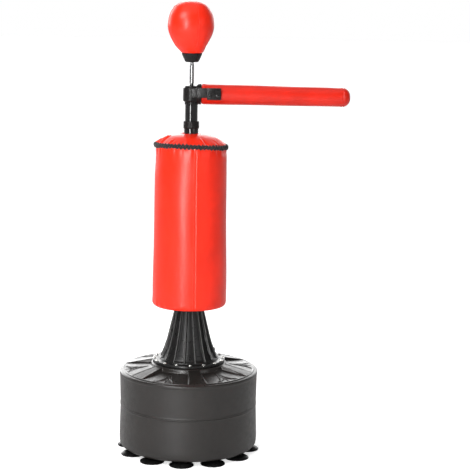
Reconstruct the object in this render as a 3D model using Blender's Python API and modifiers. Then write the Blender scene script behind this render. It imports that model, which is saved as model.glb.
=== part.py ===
"""Free-standing boxing trainer: fillable base tank on suction cups, ribbed pedestal, padded bag on a
telescopic mast, a padded reflex arm that spins about the mast, and a speed ball on a sprung rod.

Lengths are in metres and angles in degrees. +Z is up, the mast's axis is the Z axis, the floor is
z = 0, and the arm points along +X. Bearings round the mast are measured from -Y towards +X.
"""

import math

import bmesh
import bpy
from mathutils import Matrix, Vector

# Driving dimensions
TANK_R = 0.240
TANK_WAIST_R = 0.2368
TANK_FLOOR_Z = 0.0165
TANK_SEAM_Z = 0.164
TANK_RIM_Z = 0.2735
DECK_Z = 0.3109
FLANGE_R = 0.1255
FLANGE_LOW_Z = 0.3112
FLANGE_TOP_Z = 0.3224
PEDESTAL_TOP_Z = 0.5113
LOWER_TUBE_R = 0.0242
UPPER_TUBE_R = 0.0212
LOWER_TUBE_TOP_Z = 1.1350
UPPER_TUBE_LOW_Z = 0.6200
UPPER_TUBE_TOP_Z = 1.2605
BAG_LOW_Z = 0.5120
BAG_HEM_Z = 1.0600
BAG_TOP_Z = 1.1030
HUB_R = 0.0290
HUB_LOW_Z = 1.2147
HUB_TOP_Z = 1.2610
ARM_Z = 1.2368
ARM_TIP = 0.5370
ARM_DROOP = 0.6
ARM_TUBE_R = 0.0160
PIVOT_Z = 1.2560
BALL_TOP_Z = 1.5510

# Counts and bearings
CUP_COUNT = 12
CUP_START = -4.0
CUP_CIRCLE_R = 0.2070
CUP_R = 0.0420
RIB_COUNT = 16
RIB_START = -7.2
SCREW_START = 4.05
SCREW_CIRCLE_R = 0.1190
SCREW_HOLE_R = 0.0023
FILLER_BEARING = 158.0
FILLER_CIRCLE_R = 0.1780
BOLT_REACHES = (0.0620, 0.0880)

# Walls, gaps and mesh settings
WALL = 0.0040
TUBE_WALL = 0.0022
SKIN = 0.0030
GAP = 0.0003
MERGE = 0.00002
TURN_STEPS = 32
BAG_STEPS = 24
HUB_STEPS = 24

PARTS = "boxing_stand"
CUTTERS = "cutters"

BLACK = (0.022, 0.021, 0.020)
RED = (0.80, 0.045, 0.018)
# name: (colour, roughness, metallic)
LOOKS = {
    "tank_plastic": ((0.045, 0.040, 0.036), 0.55, 0.0),
    "black_plastic": (BLACK, 0.42, 0.0),
    "black_paint": (BLACK, 0.22, 0.0),
    "black_rubber": ((0.012, 0.012, 0.012), 0.45, 0.0),
    "grey_plastic": ((0.35, 0.35, 0.34), 0.50, 0.0),
    "zinc_steel": ((0.62, 0.60, 0.56), 0.30, 1.0),
    "chrome": ((0.80, 0.80, 0.80), 0.08, 1.0),
    "red_leatherette": (RED, 0.40, 0.0),
    "foam": ((0.75, 0.72, 0.62), 0.90, 0.0),
    "black_cord": ((0.015, 0.015, 0.015), 0.80, 0.0),
}


# Tools


def clear_scene():
    for obj in list(bpy.data.objects):
        bpy.data.objects.remove(obj, do_unlink=True)


def new_collection(name):
    collection = bpy.data.collections.new(name)
    bpy.context.scene.collection.children.link(collection)
    return collection


def new_look(name):
    """A Principled material from the table of looks."""
    colour, roughness, metallic = LOOKS[name]
    look = bpy.data.materials.new(name)
    look.use_nodes = True
    shader = look.node_tree.nodes["Principled BSDF"]
    shader.inputs["Base Color"].default_value = (*colour, 1.0)
    shader.inputs["Roughness"].default_value = roughness
    shader.inputs["Metallic"].default_value = metallic
    look.diffuse_color = (*colour, 1.0)
    return look


def new_object(name, mesh, look=None, place=None):
    """A part where a look is given, and otherwise a hidden cutter."""
    obj = bpy.data.objects.new(name, mesh)
    obj.matrix_world = place or Matrix()
    if look is None:
        bpy.data.collections[CUTTERS].objects.link(obj)
        obj.hide_render = True
        obj.display_type = "WIRE"
    else:
        bpy.data.collections[PARTS].objects.link(obj)
        mesh.materials.append(bpy.data.materials[look])
    return obj


def on_axis(parent_name, z, children):
    """Parents pieces to an empty at that height on the mast's axis, where their joint is."""
    empty = bpy.data.objects.new(parent_name, None)
    empty.location = (0.0, 0.0, z)
    bpy.data.collections[PARTS].objects.link(empty)
    bpy.context.view_layer.update()
    for child in children:
        child.parent = empty
        child.matrix_parent_inverse = empty.matrix_world.inverted()


def turned(name, profile, look=None, steps=TURN_STEPS, place=None):
    """A profile of (radius, height) points turned about Z. It runs down its outer side first.

    A profile that starts off the axis is a closed ring; one that starts on it ends on it too.
    """
    mesh = bpy.data.meshes.new(name)
    last = len(profile) - 1
    edges = [(i, i + 1) for i in range(last)]
    if profile[0][0] > 0:
        edges.append((last, 0))
    mesh.from_pydata([(radius, 0.0, height) for radius, height in profile], edges, [])
    obj = new_object(name, mesh, look, place)
    screw = obj.modifiers.new("Turn", "SCREW")
    screw.steps = screw.render_steps = steps
    screw.use_merge_vertices = True
    screw.merge_threshold = MERGE
    screw.use_smooth_shade = True
    return obj


def tube_profile(outer, inner, low, top):
    return [(outer, top), (outer, low), (inner, low), (inner, top)]


def curved(points, pieces):
    """Points along a smooth curve through the given (radius, height) points."""
    ends = [points[0], *points, points[-1]]
    path = []
    for i in range(len(points) - 1):
        before, start, end, after = (Vector(p) for p in ends[i : i + 4])
        for step in range(pieces):
            t = step / pieces
            slope_in, slope_out = (end - before) / 2, (after - start) / 2
            path.append(
                start * (2 * t**3 - 3 * t**2 + 1)
                + slope_in * (t**3 - 2 * t**2 + t)
                + end * (3 * t**2 - 2 * t**3)
                + slope_out * (t**3 - t**2)
            )
    return [tuple(p) for p in path] + [points[-1]]


def bearing_point(radius, bearing, z=0.0):
    angle = math.radians(bearing)
    return Vector((radius * math.sin(angle), -radius * math.cos(angle), z))


def box(name, low, high, look=None, bevel=0.0):
    """A primitive cube stretched to two corners."""
    low, high = Vector(low), Vector(high)
    bm = bmesh.new()
    size = Matrix.Diagonal((*(high - low), 1.0))
    bmesh.ops.create_cube(bm, size=1.0, matrix=Matrix.Translation((low + high) / 2) @ size)
    mesh = bpy.data.meshes.new(name)
    bm.to_mesh(mesh)
    bm.free()
    obj = new_object(name, mesh, look)
    if bevel:
        rounding = obj.modifiers.new("Round", "BEVEL")
        rounding.width = bevel
        rounding.segments = 2
    return obj


def cylinders(name, places, radius, low, top, sides=12):
    """A cutter of separate upright cylinders, each between two heights of its own place."""
    bm = bmesh.new()
    middle = Matrix.Translation((0.0, 0.0, (low + top) / 2))
    for place in places:
        bmesh.ops.create_cone(
            bm,
            cap_ends=True,
            segments=sides,
            radius1=radius,
            radius2=radius,
            depth=top - low,
            matrix=place @ middle,
        )
    mesh = bpy.data.meshes.new(name)
    bm.to_mesh(mesh)
    bm.free()
    return new_object(name, mesh)


def around(count, start, radius):
    """Places spaced evenly on a circle round the mast."""
    return [
        Matrix.Translation(bearing_point(radius, start + 360.0 * i / count)) for i in range(count)
    ]


def combine(obj, other, operation):
    modifier = obj.modifiers.new(other.name, "BOOLEAN")
    modifier.operation = operation
    modifier.solver = "EXACT"
    modifier.object = other


# Base tank


def make_lower_shell():
    floor, wall = TANK_FLOOR_Z, WALL
    shell = turned(
        "tank_lower_shell",
        [
            (0.0, floor + wall),
            (0.2230, floor + wall),
            (0.2325, floor + 0.0095),
            (TANK_R - wall, 0.0430),
            (TANK_WAIST_R - wall, TANK_SEAM_Z - 0.0001),
            (TANK_WAIST_R + 0.0008, TANK_SEAM_Z - 0.0001),
            (TANK_WAIST_R + 0.0008, TANK_SEAM_Z - 0.0030),
            (TANK_WAIST_R, TANK_SEAM_Z - 0.0050),
            (TANK_R, 0.0430),
            (0.2385, 0.0260),
            (0.2335, 0.0185),
            (0.2250, floor),
            (0.0, floor),
        ],
        "tank_plastic",
    )
    sockets = around(CUP_COUNT, CUP_START, CUP_CIRCLE_R)
    combine(shell, cylinders("cup_bosses", sockets, 0.0100, floor + 0.002, 0.0340, 6), "UNION")
    combine(shell, cylinders("cup_sockets", sockets, 0.0060, 0.0, 0.0300, 6), "DIFFERENCE")


def make_upper_shell():
    seam = TANK_SEAM_Z + 0.0002
    shell = turned(
        "tank_upper_shell",
        [
            (0.0, DECK_Z - 0.0024),
            (0.1143, DECK_Z - 0.0024),
            (0.1143, DECK_Z),
            (0.1262, DECK_Z),
            (0.1290, 0.3090),
            (0.2277, 0.2868),
            (0.2292, 0.2842),
            (0.2370, 0.2835),
            (TANK_R, 0.2808),
            (TANK_R, TANK_RIM_Z),
            (0.2388, 0.2715),
            (TANK_WAIST_R, TANK_SEAM_Z + 0.0050),
            (TANK_WAIST_R + 0.0008, TANK_SEAM_Z + 0.0030),
            (TANK_WAIST_R + 0.0008, seam),
            (TANK_WAIST_R - WALL, seam),
            (0.2350, 0.2700),
            (0.2335, 0.2795),
            (0.2270, 0.2815),
            (0.1290, 0.3035),
            (0.1262, 0.2965),
            (0.1110, 0.2965),
            (0.1090, 0.3045),
            (0.0, 0.3045),
        ],
        "tank_plastic",
    )
    mouth = [Matrix.Translation(bearing_point(FILLER_CIRCLE_R, FILLER_BEARING))]
    holes = around(RIB_COUNT, SCREW_START, SCREW_CIRCLE_R)
    combine(shell, cylinders("filler_boss", mouth, 0.0240, 0.2900, 0.3040, 16), "UNION")
    combine(shell, cylinders("filler_hole", mouth, 0.0170, 0.2600, 0.3200, 16), "DIFFERENCE")
    combine(shell, cylinders("deck_screw_holes", holes, SCREW_HOLE_R, 0.2990, 0.3200, 6), "DIFFERENCE")


def make_suction_cups():
    profile = [
        (0.0, 0.0285),
        (0.0050, 0.0285),
        (0.0050, 0.0162),
        (0.0130, 0.0162),
        (0.0300, 0.0100),
        (0.0415, 0.0030),
        (CUP_R, 0.0),
        (0.0340, 0.0),
        (0.0150, 0.0070),
        (0.0, 0.0085),
    ]
    for i, place in enumerate(around(CUP_COUNT, CUP_START, CUP_CIRCLE_R)):
        turned(f"suction_cup_{i + 1:02d}", profile, "black_rubber", 12, place)


def make_filler():
    place = Matrix.Translation(bearing_point(FILLER_CIRCLE_R, FILLER_BEARING))
    cap = [
        (0.0, 0.3180),
        (0.0215, 0.3180),
        (0.0225, 0.3170),
        (0.0225, 0.3065),
        (0.0162, 0.3065),
        (0.0155, 0.2860),
        (0.0120, 0.2860),
        (0.0120, 0.3100),
        (0.0, 0.3100),
    ]
    turned("filler_cap", cap, "black_plastic", 20, place)
    turned("filler_seal", tube_profile(0.0205, 0.0166, 0.3043, 0.3062), "black_rubber", 20, place)


# Pedestal


def rib_edge(z):
    """Radius of the ribs' outer edge at a height: a straight taper that flares at the foot."""
    above = PEDESTAL_TOP_Z - z
    return 0.0478 + 0.240 * above + 0.55 * max(0.0, above - 0.115) ** 1.6


def make_pedestal():
    heights = (0.4980, 0.4200, 0.3650, 0.3300)
    wall_line = [(rib_edge(z) - 0.0040 - 0.016 * (0.4980 - z), z) for z in heights]
    pedestal = turned(
        "pedestal_cone",
        [
            (0.0478, PEDESTAL_TOP_Z),
            (0.0478, 0.5000),
            *wall_line,
            (0.1010, FLANGE_TOP_Z),
            (FLANGE_R, FLANGE_TOP_Z),
            (FLANGE_R, FLANGE_LOW_Z),
            (0.0920, FLANGE_LOW_Z),
            (0.0400, 0.4850),
            (0.0310, 0.4850),
            (0.0310, 0.3250),
            (0.0, 0.3250),
            (0.0, 0.3310),
            (LOWER_TUBE_R + GAP, 0.3310),
            (LOWER_TUBE_R + GAP, PEDESTAL_TOP_Z),
        ],
        "black_plastic",
    )
    combine(pedestal, make_rib_blades(), "UNION")
    holes = around(RIB_COUNT, SCREW_START, SCREW_CIRCLE_R)
    combine(pedestal, cylinders("flange_holes", holes, SCREW_HOLE_R, 0.3000, 0.3300, 6), "DIFFERENCE")


def make_rib_blades():
    """One thickened upright outline for each rib, reaching into the cone's wall."""
    heights = (0.5000, 0.4200, 0.3650, FLANGE_TOP_Z - 0.0020)
    outer = [(rib_edge(z), z) for z in heights]
    inner = [(rib_edge(z) - 0.0085 - 0.016 * (0.4980 - z), z) for z in reversed(heights)]
    outline = outer + inner
    bm = bmesh.new()
    for i in range(RIB_COUNT):
        bearing = RIB_START + 360.0 * i / RIB_COUNT
        bm.faces.new([bm.verts.new(bearing_point(r, bearing, z)) for r, z in outline])
    mesh = bpy.data.meshes.new("rib_blades")
    bm.to_mesh(mesh)
    bm.free()
    blades = new_object("rib_blades", mesh)
    thickness = blades.modifiers.new("Thickness", "SOLIDIFY")
    thickness.thickness = 0.0045
    thickness.offset = 0.0
    return blades


def make_flange_fasteners():
    turned("flange_gasket", tube_profile(0.1138, 0.0960, 0.3088, 0.3109), "black_rubber")
    head = FLANGE_TOP_Z + GAP
    profile = [
        (0.0, head + 0.0036),
        (0.0032, head + 0.0034),
        (0.0048, head + 0.0018),
        (0.0048, head),
        (0.0019, head),
        (0.0019, 0.3000),
        (0.0, 0.3000),
    ]
    for i, place in enumerate(around(RIB_COUNT, SCREW_START, SCREW_CIRCLE_R)):
        turned(f"flange_screw_{i + 1:02d}", profile, "zinc_steel", 8, place)


# Mast


def make_mast():
    bore = LOWER_TUBE_R - 0.0025
    lower = tube_profile(LOWER_TUBE_R, bore, 0.3315, LOWER_TUBE_TOP_Z)
    turned("mast_lower_tube", lower, "black_paint", 24)
    upper = tube_profile(
        UPPER_TUBE_R, UPPER_TUBE_R - TUBE_WALL, UPPER_TUBE_LOW_Z, UPPER_TUBE_TOP_Z
    )
    turned("mast_upper_tube", upper, "black_paint", 24)
    guide_top, guide_low = UPPER_TUBE_LOW_Z - GAP, UPPER_TUBE_LOW_Z - 0.0100
    guide = [
        (0.0187, guide_top + 0.0200),
        (0.0187, guide_top),
        (bore - GAP, guide_top),
        (bore - GAP, guide_low),
        (0.0120, guide_low),
        (0.0120, guide_top + 0.0200),
    ]
    turned("upper_tube_guide", guide, "grey_plastic", 24)
    sleeve = tube_profile(0.0243, 0.0215, LOWER_TUBE_TOP_Z + GAP, LOWER_TUBE_TOP_Z + 0.0062)
    turned("lock_sleeve", sleeve, "grey_plastic", 24)
    make_lock_nut()


def make_lock_nut():
    """The twist collar that squeezes the sleeve onto the upper tube."""
    low, top, shoulder = 1.1226, 1.1486, LOWER_TUBE_TOP_Z + 0.0065
    nut = [
        (0.0255, top),
        (0.0267, top - 0.0012),
        (0.0267, low + 0.0012),
        (0.0258, low),
        (LOWER_TUBE_R + GAP, low),
        (LOWER_TUBE_R + GAP, shoulder),
        (UPPER_TUBE_R + 0.0004, shoulder),
        (UPPER_TUBE_R + 0.0004, top),
    ]
    on_axis("lock_nut_axis", low, [turned("lock_nut", nut, "black_plastic", 24)])


def make_mast_top():
    """Ring that carries the hub, and the cap that the speed ball's rod swivels in."""
    ring = tube_profile(0.0235, UPPER_TUBE_R + GAP, 1.2040, HUB_LOW_Z - 0.0005)
    turned("thrust_ring", ring, "black_plastic", 24)
    seat = UPPER_TUBE_TOP_Z + GAP
    cap = [
        (0.0112, 1.2675),
        (0.0215, 1.2675),
        (0.0225, 1.2665),
        (0.0225, seat),
        (0.0187, seat),
        (0.0187, 1.2300),
        (0.0155, 1.2300),
        (0.0155, seat),
        (0.0112, seat),
    ]
    turned("mast_cap", cap, "black_plastic", 24)
    turned("rebound_buffer", tube_profile(0.0152, 0.0120, 1.2320, 1.2420), "black_rubber", 24)


# Bag


def make_bag():
    """Foam core, wrapped skin, top and bottom covers, and the cord that laces the top on."""
    bore = LOWER_TUBE_R + 0.0008
    dome = curved(
        [(0.0290, 1.1022), (0.0765, 1.0948), (0.1054, 1.0812), (0.1185, 1.0728), (0.1222, 1.0650)],
        2,
    )
    inner_dome = [(radius * 0.974, z - SKIN) for radius, z in reversed(dome)]
    top_cover = [(bore, BAG_TOP_Z), *dome, (0.1222, BAG_HEM_Z + 0.0018)]
    top_cover += [(0.1190, BAG_HEM_Z + 0.0018), *inner_dome, (bore, BAG_TOP_Z - SKIN)]
    turned("bag_top_cover", top_cover, "red_leatherette", BAG_STEPS)
    side = [(0.1222, BAG_HEM_Z), (0.1232, 0.9800), (0.1250, 0.7900), (0.1280, 0.6100)]
    side += [(0.1272, 0.5280), (0.1255, 0.5185), (0.1215, 0.5135), (0.1155, BAG_LOW_Z + 0.0002)]
    inside = [(radius - SKIN, max(z, 0.5160)) for radius, z in reversed(side[:-2])]
    cover = [*side, (0.1155, 0.5155), *inside]
    turned("bag_cover", cover, "red_leatherette", BAG_STEPS)
    bottom = tube_profile(0.1151, bore, BAG_LOW_Z, BAG_LOW_Z + SKIN)
    turned("bag_bottom_cover", bottom, "black_plastic", BAG_STEPS)
    core_side = [(radius - SKIN - GAP, z) for radius, z in side[:-3]]
    core_dome = [(radius * 0.969, z - SKIN - 2 * GAP) for radius, z in dome[::2]]
    core = [(bore, 1.0980), *core_dome, *core_side]
    core += [(0.1214, 0.5200), (0.1140, 0.5170), (bore, 0.5170)]
    turned("bag_foam_core", core, "foam", BAG_STEPS)
    lacing = [(0.1238, 1.0745), (0.1252, 1.0700), (0.1252, 1.0600), (0.1240, 1.0555)]
    lacing += [(0.1229, 1.0555), (0.1226, 1.0650), (0.1226, 1.0700), (0.1230, 1.0745)]
    turned("bag_lacing_cord", lacing, "black_cord", BAG_STEPS)


# Reflex arm


def arm_place():
    """Local +Z becomes the arm's direction: +X, drooping a little."""
    return Matrix.Translation((0.0, 0.0, ARM_Z)) @ Matrix.Rotation(
        math.radians(90.0 + ARM_DROOP), 4, "Y"
    )


def bolt_places():
    """Places on the arm whose local +Z points along -Y."""
    across = Matrix.Rotation(math.radians(90.0), 4, "X")
    return [
        Matrix.Translation(arm_place() @ Vector((0.0, 0.0, reach))) @ across
        for reach in BOLT_REACHES
    ]


def make_hub():
    """Sleeve, round socket for the arm's tube, and a plate on each side of the pad."""
    bore = 0.0246
    sleeve = [
        (HUB_R - 0.0010, HUB_TOP_Z),
        (HUB_R, HUB_TOP_Z - 0.0012),
        (HUB_R, HUB_LOW_Z + 0.0030),
        (HUB_R - 0.0020, HUB_LOW_Z),
        (bore, HUB_LOW_Z),
        (bore, HUB_TOP_Z),
    ]
    hub = turned("arm_hub", sleeve, "black_plastic", HUB_STEPS)
    socket = [
        (0.0, 0.0328),
        (0.0345, 0.0328),
        (0.0352, 0.0300),
        (0.0335, 0.0180),
        (0.0290, 0.0120),
        (0.0, 0.0120),
    ]
    combine(hub, turned("socket_body", socket, steps=HUB_STEPS, place=arm_place()), "UNION")
    for side, sign in (("front", -1.0), ("rear", 1.0)):
        for other in make_bracket_blocks(side, sign):
            combine(hub, other, "UNION")
    upright = [Matrix()]
    combine(hub, cylinders("hub_bore", upright, bore, 1.19, 1.29, HUB_STEPS), "DIFFERENCE")
    bore_of_socket = cylinders("tube_socket", [arm_place()], ARM_TUBE_R + GAP, 0.0200, 0.0400, 24)
    combine(hub, bore_of_socket, "DIFFERENCE")
    bolt_holes = cylinders("bracket_holes", bolt_places(), 0.0033, -0.06, 0.06)
    combine(hub, bolt_holes, "DIFFERENCE")
    return hub


def make_bracket_blocks(side, sign):
    """The plate beside the pad, its deeper outer half, and the root that ties it to the sleeve."""
    low, high = sorted((sign * 0.0362, sign * 0.0412))
    root_low, root_high = sorted((sign * 0.0180, sign * 0.0411))
    return [
        box(f"bracket_root_{side}", (0.0005, root_low, 1.2297), (0.0327, root_high, 1.2609)),
        box(f"bracket_plate_{side}", (0.0200, low, 1.2295), (0.0995, high, 1.2625)),
        box(f"bracket_outer_{side}", (0.0530, low, 1.2228), (0.1000, high, 1.2620), bevel=0.0015),
    ]


def make_arm():
    hub = make_hub()
    bush = tube_profile(0.0243, UPPER_TUBE_R + GAP, HUB_LOW_Z + GAP, HUB_TOP_Z - 0.0008)
    hub_bush = turned("hub_bush", bush, "grey_plastic", 24)
    place = arm_place()
    tube = tube_profile(ARM_TUBE_R, ARM_TUBE_R - 0.0025, 0.0262, 0.4990)
    core = turned("arm_core_tube", tube, "black_paint", 24, place)
    end_cap = curved([(0.0, ARM_TIP), (0.0175, 0.5345), (0.0275, 0.5270), (0.0318, 0.5130)], 2)
    pad_profile = [
        *end_cap,
        (0.0342, 0.0700),
        (0.0342, 0.0390),
        (0.0325, 0.0345),
        (0.0290, 0.0333),
        (0.0164, 0.0333),
        (0.0164, 0.5000),
        (0.0, 0.5000),
    ]
    pad = turned("arm_pad", pad_profile, "red_leatherette", 20, place)
    holes = cylinders("pad_bolt_holes", bolt_places(), 0.0034, -0.06, 0.06)
    combine(core, holes, "DIFFERENCE")
    combine(pad, holes, "DIFFERENCE")
    on_axis("arm_axis", ARM_Z, [hub, hub_bush, core, pad, *make_arm_bolts()])


def make_arm_bolts():
    """Each bolt's head lies on the front plate, and its nut on the rear one."""
    face = 0.0412 + GAP
    bolt = [
        (0.0, face + 0.0022),
        (0.0045, face + 0.0020),
        (0.0055, face + 0.0008),
        (0.0055, face),
        (0.0030, face),
        (0.0030, -0.0475),
        (0.0, -0.0475),
    ]
    nut = tube_profile(0.0055, 0.0037, -face - 0.0048, -face)
    made = []
    for i, place in enumerate(bolt_places()):
        made.append(turned(f"arm_bolt_{i + 1}", bolt, "black_paint", 12, place))
        made.append(turned(f"arm_nut_{i + 1}", nut, "black_paint", 6, place))
    return made


# Speed ball


def make_speed_ball():
    swell = curved([(0.0050, PIVOT_Z + 0.0062), (0.0086, PIVOT_Z), (0.0050, PIVOT_Z - 0.0062)], 2)
    rod_profile = [
        (0.0, 1.3620),
        (0.0050, 1.3620),
        (0.0050, 1.3462),
        (0.0060, 1.3448),
        (0.0075, 1.3370),
        (0.0075, 1.2790),
        (0.0060, 1.2700),
        *swell,
        (0.0036, PIVOT_Z - 0.0100),
        (0.0036, 1.2340),
        (0.0, 1.2340),
    ]
    rod = turned("ball_rod", rod_profile, "chrome", 16)
    nut = turned("rod_nut", tube_profile(0.0095, 0.0061, 1.3560, 1.3606), "zinc_steel", 6)
    cup_profile = [
        (0.0345, 1.3772),
        (0.0353, 1.3765),
        (0.0219, 1.3478),
        (0.0210, 1.3470),
        (0.0053, 1.3470),
        (0.0053, 1.3557),
        (0.0225, 1.3557),
        (0.0331, 1.3772),
    ]
    cup = turned("ball_cup", cup_profile, "black_plastic", 24)
    outline = curved(
        [
            (0.0300, BALL_TOP_Z - 0.0022),
            (0.0640, 1.5290),
            (0.0787, 1.4790),
            (0.0697, 1.4325),
            (0.0549, 1.4060),
            (0.0380, 1.3810),
        ],
        2,
    )
    lining = [(radius - 0.0034, 1.4800 + (z - 1.4800) * 0.955) for radius, z in reversed(outline)]
    skin = [
        (0.0, BALL_TOP_Z),
        *outline,
        (0.0320, 1.3768),
        (0.0233, 1.3590),
        (0.0130, 1.3590),
        (0.0130, 1.3620),
        (0.0205, 1.3620),
        *lining,
        (0.0, BALL_TOP_Z - SKIN),
    ]
    ball = turned("speed_ball", skin, "red_leatherette", 20)
    ring_profile = tube_profile(0.0115, 0.0096, PIVOT_Z - 0.0020, PIVOT_Z + 0.0020)
    ring = turned("swivel_ring", ring_profile, "grey_plastic", 24)
    on_axis("ball_pivot", PIVOT_Z, [rod, nut, cup, ball, ring])


def main():
    clear_scene()
    new_collection(PARTS)
    new_collection(CUTTERS).hide_render = True
    for name in LOOKS:
        new_look(name)
    make_lower_shell()
    make_upper_shell()
    make_suction_cups()
    make_filler()
    make_pedestal()
    make_flange_fasteners()
    make_mast()
    make_mast_top()
    make_bag()
    make_arm()
    make_speed_ball()


main()
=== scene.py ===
import math

import bmesh
import bpy
import numpy as np
from mathutils import Matrix, Vector


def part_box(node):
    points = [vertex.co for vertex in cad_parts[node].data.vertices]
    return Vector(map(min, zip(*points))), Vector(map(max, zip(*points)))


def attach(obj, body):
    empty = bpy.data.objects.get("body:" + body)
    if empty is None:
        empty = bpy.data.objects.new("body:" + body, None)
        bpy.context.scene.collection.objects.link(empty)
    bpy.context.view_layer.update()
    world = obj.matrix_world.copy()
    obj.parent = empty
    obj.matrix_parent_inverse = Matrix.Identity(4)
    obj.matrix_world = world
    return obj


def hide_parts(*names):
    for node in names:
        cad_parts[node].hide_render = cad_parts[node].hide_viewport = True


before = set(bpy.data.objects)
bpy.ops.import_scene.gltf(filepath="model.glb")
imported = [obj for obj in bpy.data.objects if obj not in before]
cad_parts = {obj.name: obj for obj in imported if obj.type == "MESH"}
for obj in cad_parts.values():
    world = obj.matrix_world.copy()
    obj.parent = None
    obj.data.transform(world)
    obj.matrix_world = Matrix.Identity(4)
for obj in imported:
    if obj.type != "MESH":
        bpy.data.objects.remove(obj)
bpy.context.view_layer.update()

# The free-standing boxing trainer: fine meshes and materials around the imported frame.
#
# Lengths are in metres and angles in degrees, in the frame's own coordinates. Bearings round the
# mast are measured from -Y (the front) towards +X, as in the frame's source.

SEED = 11
TOUCHING = 1e-6

# Sizes read from the frame
TANK_LOW, TANK_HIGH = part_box("tank_lower_shell")[0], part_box("tank_upper_shell")[1]
TANK_R = TANK_HIGH.x
SEAM_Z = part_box("tank_lower_shell")[1].z
FLANGE_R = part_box("pedestal_cone")[1].x
FLANGE_LOW_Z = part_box("pedestal_cone")[0].z
PEDESTAL_TOP_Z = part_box("pedestal_cone")[1].z
LOWER_TUBE_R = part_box("mast_lower_tube")[1].x
LOWER_TUBE_TOP_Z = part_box("mast_lower_tube")[1].z
UPPER_TUBE_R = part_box("mast_upper_tube")[1].x
UPPER_TUBE_LOW_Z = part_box("mast_upper_tube")[0].z
UPPER_TUBE_TOP_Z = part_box("mast_upper_tube")[1].z
BAG_LOW_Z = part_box("bag_bottom_cover")[0].z
BAG_HEM_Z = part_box("bag_cover")[1].z
BAG_TOP_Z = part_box("bag_top_cover")[1].z
NUT_LOW_Z, NUT_TOP_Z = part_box("lock_nut")[0].z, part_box("lock_nut")[1].z
RING_LOW_Z, RING_TOP_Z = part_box("thrust_ring")[0].z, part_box("thrust_ring")[1].z
CAP_TOP_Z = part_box("mast_cap")[1].z
BALL_TOP_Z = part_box("speed_ball")[1].z

# Sizes that the frame's boxes don't give
FLANGE_TOP_Z = 0.3224
DECK_Z = 0.3109
WAIST_R = 0.2368
LEDGE_R = 0.2277
LEDGE_Z = 0.2868
HUB_R = 0.0290
HUB_LOW_Z, HUB_TOP_Z = 1.2147, 1.2610
ARM_Z = 1.2368
PAD_Z = 1.2395
ARM_TIP = 0.5370
ARM_DROOP = 0.6
PAD_DROOP = 0.4
PAD_RING_Z = 0.5120
PIVOT_Z = 1.2560
ROPE_R = 0.1222
ROPE_Z = 1.0650
BALL_MIDDLE_Z = 1.4800
BOLT_FACE = 0.0418
CROSS_SLOT = (0.0004, 0.0007)

# Counts and bearings
CUP_COUNT = 12
CUP_START = -4.0
CUP_CIRCLE_R = 0.2070
RIB_COUNT = 16
RIB_START = -7.2
SCREW_START = 4.05
SCREW_CIRCLE_R = 0.1190
FILLER_BEARING = 158.0
FILLER_CIRCLE_R = 0.1780
BOLT_REACHES = (0.0620, 0.0880)
BAND_COUNT = 6
BAND_START = 10.0
BAND_HALF = 8.0
STITCH_COUNT = 58
PAD_STITCH_COUNT = 44
ROPE_TURNS = 41
BAG_SEAM = 10.0
DOME_CREASES = (-112.0, -84.0, -71.0, -58.0, -38.0, 24.0, 58.0, 77.0, 101.0, 140.0, 176.0, 212.0)
BALL_PANELS = 4
BALL_SEAM = 17.5
BALL_LEAN = 0.0048

# Camera, floor and lights
CAMERA_PLACE = (0.1545, -5.0, 1.6035)
CAMERA_DOWN = 9.60
CAMERA_ROLL = 0.92
SENSOR_WIDTH = 36.0
LENS = 112.98
FLOOR_R = 40.0
FLOOR_GAP = 0.0006
STAGE_CENTRE = (0.0, 0.0, 1.0)
WHITE = (1.0, 1.0, 1.0, 1.0)


# Meshes


def placed(name, data):
    """A new object in the scene."""
    obj = bpy.data.objects.new(name, data)
    bpy.context.scene.collection.objects.link(obj)
    return obj


def mesh_from(bm, name):
    """A mesh with what bm holds. bm is freed."""
    mesh = bpy.data.meshes.new(name)
    bm.to_mesh(mesh)
    bm.free()
    return mesh


def new_piece(mesh, look, body, nodes=()):
    """An object with a look, named like its mesh, that rides on a body and stands for CAD nodes."""
    obj = placed(mesh.name, mesh)
    if not mesh.materials:
        mesh.materials.append(look)
    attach(obj, body)
    if nodes:
        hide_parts(*nodes)
    return obj


def grid_mesh(name, points, wrap_rows=False):
    """Quads over a rows x columns x 3 array whose columns close on themselves."""
    rows, columns, _ = points.shape
    row_ends = rows if wrap_rows else rows - 1
    i, j = np.meshgrid(np.arange(row_ends), np.arange(columns), indexing="ij")
    below, beside = (i + 1) % rows, (j + 1) % columns
    quads = np.stack(
        [i * columns + j, below * columns + j, below * columns + beside, i * columns + beside],
        axis=-1,
    ).reshape(-1, 4)
    mesh = bpy.data.meshes.new(name)
    mesh.from_pydata(points.reshape(-1, 3).tolist(), [], quads.tolist())
    return mesh


def weld(mesh, sharp_angle=None):
    """Joins the points that meet on the axis, points the faces outward, and shades smooth."""
    bm = bmesh.new()
    bm.from_mesh(mesh)
    bmesh.ops.remove_doubles(bm, verts=bm.verts, dist=TOUCHING)
    bmesh.ops.recalc_face_normals(bm, faces=bm.faces)
    bm.to_mesh(mesh)
    bm.free()
    mesh.shade_smooth()
    if sharp_angle:
        mesh.set_sharp_from_angle(angle=math.radians(sharp_angle))
    return mesh


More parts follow.
